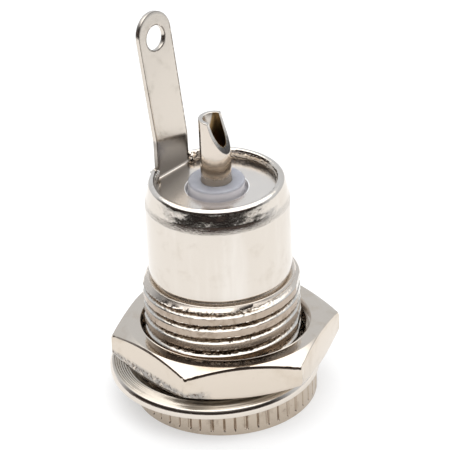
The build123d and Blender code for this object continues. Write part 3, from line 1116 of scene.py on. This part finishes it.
# Insulator bush: moulded in natural nylon. It fills the rear of the shell and
# its collar stands out through the tag's hole round the centre contact.
tube_radius = 1.055
collar_radius = 1.95
collar_round = 0.14
bush_front = 10.2
bush_back = 15.72
bush_radius = 4.45
core_radius = 3.55
recess_radius = 1.65
recess_back = 11.2
bush_rows = [(tube_radius, recess_back), (recess_radius, recess_back), (recess_radius, bush_front)]
bush_rows += [(core_radius, bush_front), (core_radius, seat_low)]
bush_rows += [(bush_radius, seat_low), (bush_radius, bush_back)]
bush_rows += [(collar_radius, z) for z in (bush_back, 16.1, 16.4)]
bush_rows += arc(collar_radius - collar_round, 16.63, collar_round, 0, 90, 8)
bush_rows += [(1.5, 16.775), (1.2, 16.765), (1.1, 16.755)]
bush_rows += [(tube_radius, 16.72), (tube_radius, 16.4)]
bush_angle = angles_round(160)
radius, height = spread_rows(bush_rows, len(bush_angle))

haze_stops = [(0.3, (0.31, 0.315, 0.35)), (0.7, (0.36, 0.365, 0.405))]
lit_collar_side = (0.62, 0.61, 0.64, 1)
collar_levels = (16.5, 16.72)
nylon_depth = 0.0013
nylon_gloss = 0.14
nylon_grain = 0.15
nylon_relief = 5.0
natural_nylon, tree = start_material("natural_nylon")
place = object_millimetres(tree)
haze_colour = ramp_node(tree, noise_node(tree, place, 1.2, 3.0), haze_stops)
# Painted light: the collar's side gets a far lighter colour than its top, so the side looks as bright
# as the top.
on_top = mask_above(tree, split_point(tree, place)["Z"], *collar_levels)
grain = noise_node(tree, place, 9.0, 4.0)
nylon_inputs = {
    "Base Color": mix_colour(tree, on_top, lit_collar_side, haze_colour),
    "Roughness": math_node(tree, "MULTIPLY_ADD", grain, nylon_grain, nylon_gloss),
    "Subsurface Weight": 1.0,
    "Subsurface Radius": (1.0, 1.0, 1.0),
    "Subsurface Scale": nylon_depth,
    "Normal": relief_normal(tree, math_node(tree, "MULTIPLY", grain, nylon_relief)),
}
nylon_shader = add_node(tree, "ShaderNodeBsdfPrincipled", nylon_inputs)
add_node(tree, "ShaderNodeOutputMaterial", {"Surface": nylon_shader.outputs[0]})
bush = grid_piece("bush_moulding", radius, height, bush_angle, natural_nylon)
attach(bush, "root")
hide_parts("insulator_bush")


# Centre contact: one turned piece, nickel plated. In front it is the socket's pin;
# behind it is a drilled solder cup whose side is milled away, left with burrs.
pin_radius = 1.0
pin_front = 2.5
pin_round = 0.45
flange_radius = 1.6
cup_radius = 0.75
cup_floor = 17.98
tube_top = 21.48
scoop_angle = radians(-28)
scoop_depth = 2.53
scoop_mid = (0.43 * tube_radius, -0.545 * scoop_depth)
wall_low = 18.6
wall_middle = (tube_radius + cup_radius) / 2
edge = 0.03
outer_burr = 0.006
inner_burr = 0.02
contact_columns = 240
contact_angle = angles_round(contact_columns)


def circle_from_origin(first, second):
    """Centre (across, up) and radius of the circle through (0, 0) and two points."""
    first_square = first[0] ** 2 + first[1] ** 2
    second_square = second[0] ** 2 + second[1] ** 2
    scale = 2 * (first[0] * second[1] - second[0] * first[1])
    across = (first_square * second[1] - second_square * first[1]) / scale
    up = (second_square * first[0] - first_square * second[0]) / scale
    return across, up, sqrt(across**2 + up**2)


scoop_x, scoop_z, scoop_radius = circle_from_origin(scoop_mid, (tube_radius, -scoop_depth))


def scoop_level(radius, angle):
    """Height of the cup's cut edge at a radius and an angle."""
    reach = np.maximum(radius * np.cos(angle - scoop_angle), 0.0)
    fall = scoop_z - np.sqrt(np.maximum(scoop_radius**2 - (reach - scoop_x) ** 2, 0))
    return tube_top + np.where(reach > 0, fall, 0.0)


in_scoop = np.clip(np.cos(contact_angle - scoop_angle) * 2, 0, 1)
ragged = smooth_noise(410, contact_columns, 5) + smooth_noise(411, contact_columns, 11)
burrs = in_scoop * ragged
level_out = scoop_level(tube_radius, contact_angle) + burrs * outer_burr
level_in = scoop_level(cup_radius, contact_angle) + burrs * inner_burr
level_bevel = scoop_level(cup_radius + edge, contact_angle) + burrs * inner_burr
level_mid = scoop_level(wall_middle, contact_angle)
level_mid = level_mid + in_scoop * smooth_noise(412, contact_columns, 6) * 0.012
contact_rows = [(0.0, pin_front), (0.3, pin_front)]
contact_rows += arc(pin_radius - pin_round, pin_front + pin_round, pin_round, -90, 0, 8)
contact_rows += [(pin_radius, bush_front), (flange_radius, bush_front)]
contact_rows += [(flange_radius, recess_back)]
contact_rows += [(tube_radius, z) for z in (recess_back, 16.6, 17.2, 17.9, wall_low)]
for share in (0.2, 0.4, 0.6, 0.8, 0.95):
    contact_rows.append((tube_radius, wall_low + (level_out - edge - wall_low) * share))
contact_rows += [(tube_radius, level_out - edge)]
contact_rows += [(tube_radius - edge * 0.3, level_out - edge * 0.3)]
contact_rows += [(tube_radius - edge, scoop_level(tube_radius - edge, contact_angle))]
contact_rows += [(wall_middle, level_mid), (cup_radius + edge, level_bevel)]
contact_rows += [(cup_radius + edge * 0.3, level_in - edge * 0.3), (cup_radius, level_in - edge)]
for share in (0.8, 0.5, 0.2):
    contact_rows.append((cup_radius, wall_low + (level_in - edge - wall_low) * share))
contact_rows += [(cup_radius, wall_low), (cup_radius, cup_floor), (0.3, 17.71), (0.0, 17.53)]
radius, height = spread_rows(contact_rows, contact_columns)

tube_stain = (0.55, 0.47, 0.37, 1)
cup_shade = (0.28, 0.18, 0.08, 1)
cut_stops = [(0.0, (0.05, 0.045, 0.042)), (0.4, (0.14, 0.13, 0.12)), (1.0, (0.68, 0.63, 0.57))]
tube_stain_levels = (17.65, 18.3)
cut_levels = (18.3, 18.4)
cut_tone_levels = (19.5, 21.4)
cup_side = (1.0, 0.0, -0.25)
cup_side_reach = (-5.5, -5.36)
stain_mottle = 1.3
cut_mottle = 1.6
stain_dullness = 0.22
cup_dullness = 0.2
stain_relief = 8.0
contact_nickel, tree = start_material("contact_nickel")
finish = plated(
    tree,
    metal=nickel_bright,
    tarnish=(0.6, 0.53, 0.45, 1),
    clouds=(0.52, 1.2),
    pits=(0.72, 6.0),
    polish=(0.12, 0.2),
    grain=(9.0, 1.5),
)
in_cup = mask_inside(tree, root=0.76, crest=0.8, raggedness=0.03)
inside_wall = mask_inside(tree, root=1.025, crest=1.045, raggedness=0.02)
place = object_millimetres(tree)
level = split_point(tree, place)["Z"]
stain_noise = noise_node(tree, place, 6.0, 5.0, 0.8)
mottle = math_node(tree, "MULTIPLY_ADD", stain_noise, stain_mottle, level)
stained = mask_below(tree, mottle, *tube_stain_levels)
# Painted light and shade: the milled cut face is bright at the top and dark lower down, mottled by
# noise.
on_cut = overlap(tree, inside_wall, mask_above(tree, level, *cut_levels))
cut_noise = noise_node(tree, place, 9.0, 4.0, 0.7)
cut_tone = math_node(tree, "MULTIPLY_ADD", cut_noise, cut_mottle, level)
cut_colour = ramp_node(tree, mask_above(tree, cut_tone, *cut_tone_levels), cut_stops)
# Painted shade: one side of the solder cup's inside is dark brown.
side = vector_value(tree, "DOT_PRODUCT", place, cup_side)
cup_shade_mask = overlap(tree, in_cup, mask_above(tree, side, *cup_side_reach))
colour = mix_colour(tree, stained, finish["Color"], tube_stain)
colour = mix_colour(tree, on_cut, colour, cut_colour)
colour = mix_colour(tree, cup_shade_mask, colour, cup_shade)
roughness = math_node(tree, "MULTIPLY_ADD", in_cup, cup_dullness, finish["Roughness"])
roughness = math_node(tree, "MULTIPLY_ADD", stained, stain_dullness, roughness)
stain_height = overlap(tree, noise_node(tree, place, 6.0, 4.0, 0.7), stained)
relief = math_node(tree, "MULTIPLY_ADD", stain_height, stain_relief, finish["Height"])
finish_metal(tree, colour, roughness, relief)
contact = grid_piece("contact_turning", radius, height, contact_angle, contact_nickel, ring=False)
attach(contact, "root")
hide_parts("centre_contact")


# Contact sleeve: rolled from phosphor bronze strip and slotted into springy
# fingers. It is pushed into the shell and only its mouth can be seen.
sleeve_bronze, tree = start_material("sleeve_bronze")
finish = plated(
    tree,
    metal=(0.72, 0.56, 0.36, 1),
    tarnish=(0.5, 0.36, 0.22, 1),
    clouds=(0.5, 1.5),
    pits=(0.68, 6.0),
    polish=(0.25, 0.45),
    grain=(8.0, 3.0),
    pit_colour=(0.2, 0.13, 0.07, 1),
)
marks = turned_rings(tree, 5.0, 0.1, 3.0)
relief = math_node(tree, "ADD", finish["Height"], marks)
finish_metal(tree, finish["Color"], finish["Roughness"], relief)
sleeve_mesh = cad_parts["contact_sleeve"].data
sleeve_mesh.materials.clear()
sleeve_mesh.materials.append(sleeve_bronze)
